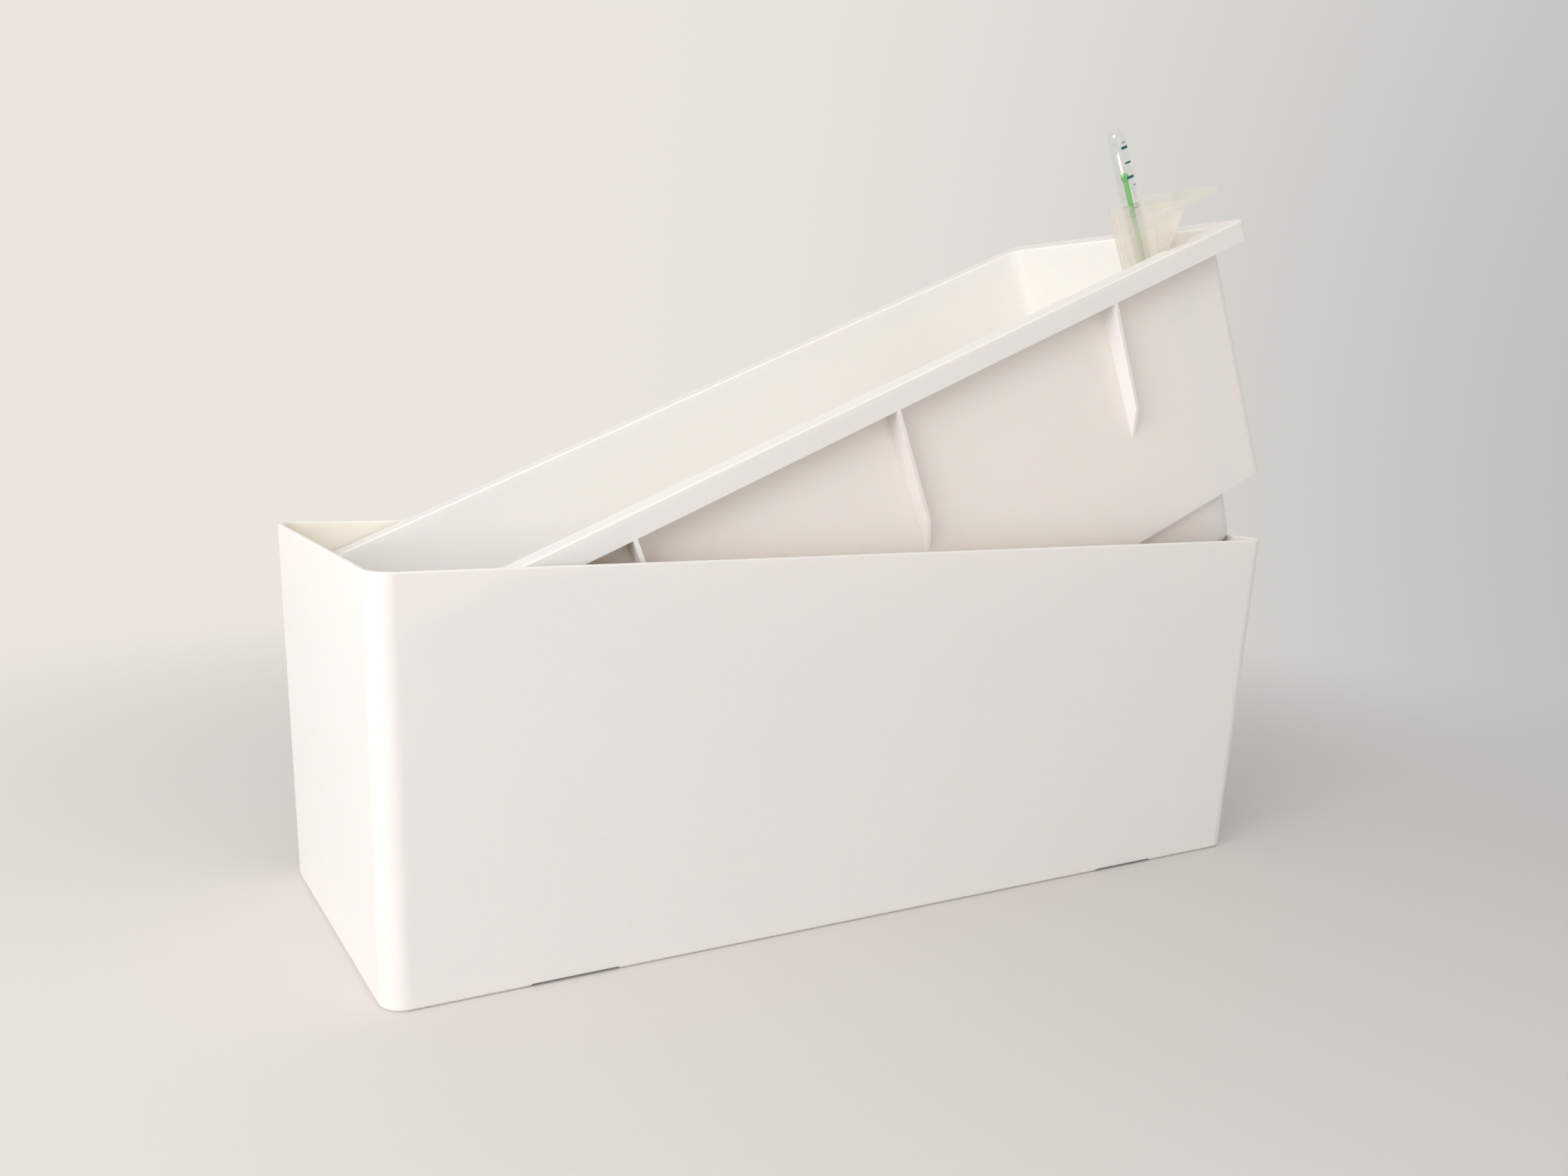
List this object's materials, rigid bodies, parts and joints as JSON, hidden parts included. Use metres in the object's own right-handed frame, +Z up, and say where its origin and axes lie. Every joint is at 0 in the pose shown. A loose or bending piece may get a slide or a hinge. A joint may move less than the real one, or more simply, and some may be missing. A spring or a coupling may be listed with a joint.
{
  "type": "self-watering window box",
  "caption": "Rectangular drafted window box: water trough with a slotted planting liner propped up in it, translucent water filler with a clear float gauge.",
  "frame": {"origin": "under the middle of the trough, in the plane its base stands on", "axes": "+X along the trough towards the raised end of the liner, +Y to the back, +Z up"},
  "size_m": [0.5219, 0.2092, 0.407],
  "materials": {
    "trough_plastic": "satin white polypropylene",
    "liner_plastic": "satin white polypropylene",
    "frosted_plastic": "frosted, translucent",
    "clear_plastic": "clear",
    "cap_plastic": "satin",
    "float_foam": "matte",
    "rod_plastic": "gloss green",
    "plug_plastic": "satin",
    "seal_rubber": "matte"
  },
  "bodies": {
    "trough": {"outer_trough": "trough_plastic"},
    "liner": {"inner_liner": "liner_plastic"},
    "filler_body": {"filler": "frosted_plastic"},
    "gauge": {"gauge_tube": "clear_plastic", "gauge_cap": "cap_plastic"},
    "float": {"gauge_float": "float_foam", "gauge_rod": "rod_plastic"},
    "plug": {"drain_plug": "plug_plastic", "plug_seal": "seal_rubber"}
  },
  "joints": [
    {"name": "liner_lift", "type": "slide", "parent": "trough", "child": "liner", "axis": [0, 0, 1], "range_m": [0, 0.2]},
    {"name": "filler_lift", "type": "slide", "parent": "liner", "child": "filler_body", "axis": [-0.3971, 0, 0.9178], "range_m": [0, 0.18]},
    {"name": "gauge_lift", "type": "slide", "parent": "filler_body", "child": "gauge", "axis": [-0.3971, 0, 0.9178], "range_m": [0, 0.19]},
    {"name": "float_rise", "type": "slide", "parent": "gauge", "child": "float", "axis": [-0.3971, 0, 0.9178], "range_m": [0, 0.0156]},
    {"name": "plug_pull", "type": "slide", "parent": "trough", "child": "plug", "axis": [0, 0, 1], "range_m": [0, 0.02]}
  ]
}
